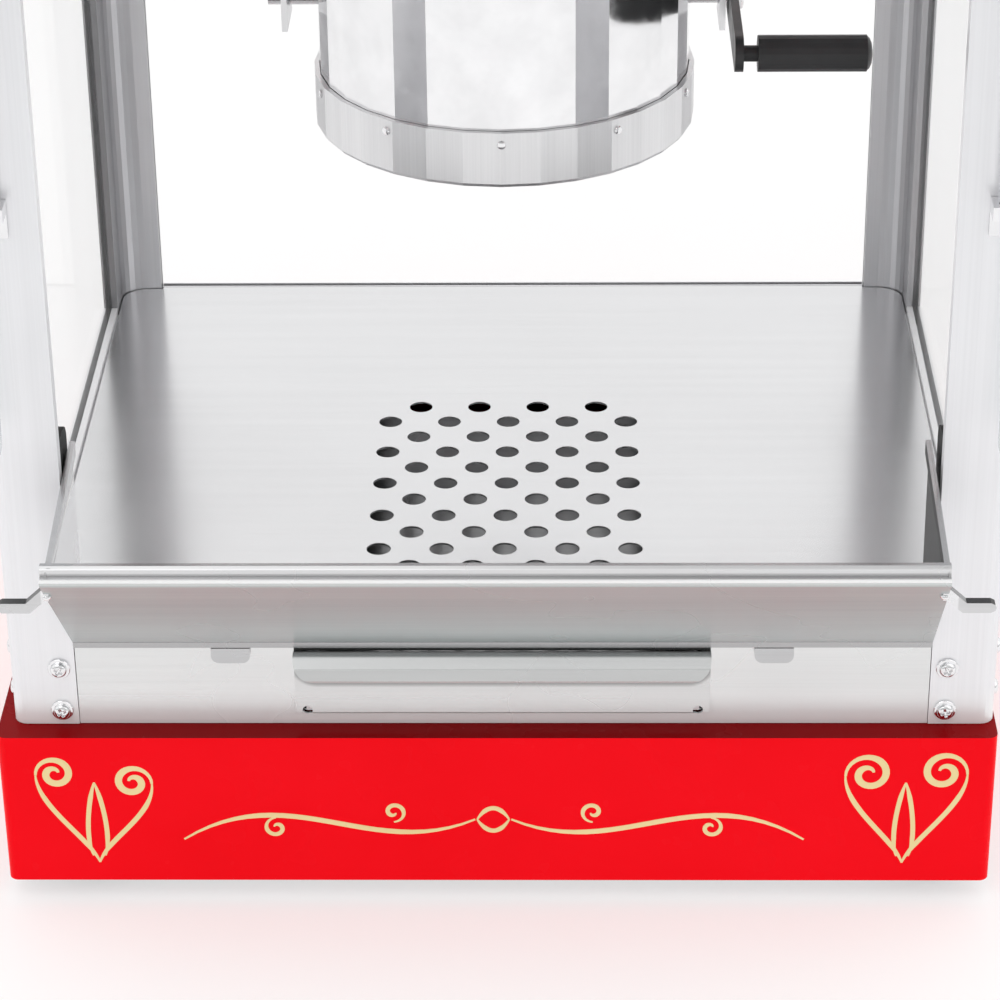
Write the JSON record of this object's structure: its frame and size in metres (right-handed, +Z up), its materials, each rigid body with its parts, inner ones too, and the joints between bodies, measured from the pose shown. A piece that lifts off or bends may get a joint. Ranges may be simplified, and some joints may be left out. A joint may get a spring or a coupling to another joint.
{
  "type": "popcorn maker",
  "caption": "Countertop theatre-style popcorn machine: red base and hood, clear panes, perforated steel deck, sloping front trough, crumb drawer, open doors and tilting kettle.",
  "frame": {"origin": "under the middle of the machine's box with its doors open as modelled, on the surface its feet stand on", "axes": "+Z up, the operator side with doors, trough and drawer faces -Y, +X to the right seen from the operator side"},
  "size_m": [0.6504, 0.6542, 0.7353],
  "materials": {
    "red_paint": "gloss",
    "satin_aluminium": "satin",
    "brushed_steel": "brushed",
    "polished_steel": "polished",
    "rubber": "matte",
    "black_plastic": "semi-gloss",
    "clear_pane": "clear",
    "lamp_glass": "frosted",
    "brass": "machined",
    "motor_grey": "satin"
  },
  "bodies": {
    "cabinet": {"base_shell": "red_paint", "base_floor": "brushed_steel", "front_left_foot": "rubber", "rear_left_foot": "rubber", "front_right_foot": "rubber", "rear_right_foot": "rubber", "front_left_post": "satin_aluminium", "front_right_post": "satin_aluminium", "rear_left_post": "satin_aluminium", "rear_right_post": "satin_aluminium", "left_rail": "satin_aluminium", "right_rail": "satin_aluminium", "rear_rail": "satin_aluminium", "left_pane": "clear_pane", "right_pane": "clear_pane", "rear_pane": "clear_pane", "front_apron": "brushed_steel", "popcorn_deck": "brushed_steel", "drawer_runner": "brushed_steel", "upper_left_screw": "polished_steel", "upper_right_screw": "polished_steel", "lower_left_screw": "polished_steel", "lower_right_screw": "polished_steel", "left_corner_block": "rubber", "right_corner_block": "rubber", "left_lower_hinge_bracket": "polished_steel", "left_upper_hinge_bracket": "polished_steel", "right_lower_hinge_bracket": "polished_steel", "right_upper_hinge_bracket": "polished_steel", "hood_shell": "red_paint", "hood_cap": "red_paint", "ceiling_panel": "brushed_steel", "switch_panel": "brushed_steel", "mains_inlet": "black_plastic", "lamp_holder": "black_plastic", "lamp_bulb": "lamp_glass", "gear_motor": "motor_grey", "kettle_hanger": "brushed_steel"},
    "front_trough": {"front_trough": "brushed_steel", "left_trough_tab": "brushed_steel", "right_trough_tab": "brushed_steel"},
    "crumb_drawer": {"crumb_tray": "brushed_steel", "drawer_front": "brushed_steel"},
    "left_door": {"left_door": "clear_pane", "left_door_hinge": "polished_steel", "left_door_knob": "black_plastic"},
    "right_door": {"right_door": "clear_pane", "right_door_hinge": "polished_steel", "right_door_knob": "black_plastic"},
    "kettle": {"kettle_pot": "polished_steel", "kettle_heater_case": "brushed_steel", "kettle_handle": "black_plastic"},
    "kettle_front_lid": {"kettle_front_lid": "polished_steel"},
    "kettle_rear_lid": {"kettle_rear_lid": "polished_steel"},
    "stirrer": {"stirrer": "polished_steel"},
    "drive_shaft": {"drive_shaft": "motor_grey"},
    "motor_pinion": {"motor_pinion": "brass"},
    "heat_switch": {"heat_switch": "black_plastic"},
    "motor_switch": {"motor_switch": "black_plastic"},
    "light_switch": {"light_switch": "black_plastic"}
  },
  "joints": [
    {"name": "trough_lift", "type": "slide", "parent": "cabinet", "child": "front_trough", "axis": [0, 0, 1], "range_m": [0, 0.022]},
    {"name": "crumb_drawer_slide", "type": "slide", "parent": "cabinet", "child": "crumb_drawer", "axis": [0, -1, 0], "range_m": [0, 0.2]},
    {"name": "left_door_hinge", "type": "hinge", "parent": "cabinet", "child": "left_door", "pos_m": [-0.231, -0.11073, 0.397], "axis": [0, 0, 1], "range_deg": [-60, 110]},
    {"name": "right_door_hinge", "type": "hinge", "parent": "cabinet", "child": "right_door", "pos_m": [0.231, -0.11073, 0.397], "axis": [0, 0, 1], "range_deg": [-110, 60]},
    {"name": "kettle_tilt", "type": "hinge", "parent": "cabinet", "child": "kettle", "pos_m": [0, 0.11627, 0.397], "axis": [1, 0, 0], "range_deg": [0, 105]},
    {"name": "kettle_front_lid_hinge", "type": "hinge", "parent": "kettle", "child": "kettle_front_lid", "pos_m": [0, 0.10527, 0.4477], "axis": [1, 0, 0], "range_deg": [-72, 0]},
    {"name": "kettle_rear_lid_hinge", "type": "hinge", "parent": "kettle", "child": "kettle_rear_lid", "pos_m": [0, 0.12727, 0.4477], "axis": [1, 0, 0], "range_deg": [0, 72]},
    {"name": "drive_shaft_spin", "type": "hinge", "parent": "cabinet", "child": "drive_shaft", "pos_m": [0, 0.11627, 0.517], "axis": [0, 0, 1], "continuous": true},
    {"name": "motor_pinion_spin", "type": "hinge", "parent": "cabinet", "child": "motor_pinion", "pos_m": [0.036, 0.11627, 0.56], "axis": [0, 0, 1], "continuous": true},
    {"name": "stirrer_spin", "type": "hinge", "parent": "kettle", "child": "stirrer", "pos_m": [0, 0.11627, 0.397], "axis": [0, 0, 1], "continuous": true},
    {"name": "heat_switch_rock", "type": "hinge", "parent": "cabinet", "child": "heat_switch", "pos_m": [-0.046, -0.11373, 0.602], "axis": [1, 0, 0], "range_deg": [0, 14]},
    {"name": "motor_switch_rock", "type": "hinge", "parent": "cabinet", "child": "motor_switch", "pos_m": [0, -0.11373, 0.602], "axis": [1, 0, 0], "range_deg": [0, 14]},
    {"name": "light_switch_rock", "type": "hinge", "parent": "cabinet", "child": "light_switch", "pos_m": [0.046, -0.11373, 0.602], "axis": [1, 0, 0], "range_deg": [0, 14]}
  ],
  "couplings": [
    {"joint": "motor_pinion_spin", "follows": "drive_shaft_spin", "ratio": -3},
    {"joint": "stirrer_spin", "follows": "drive_shaft_spin", "ratio": 1}
  ]
}
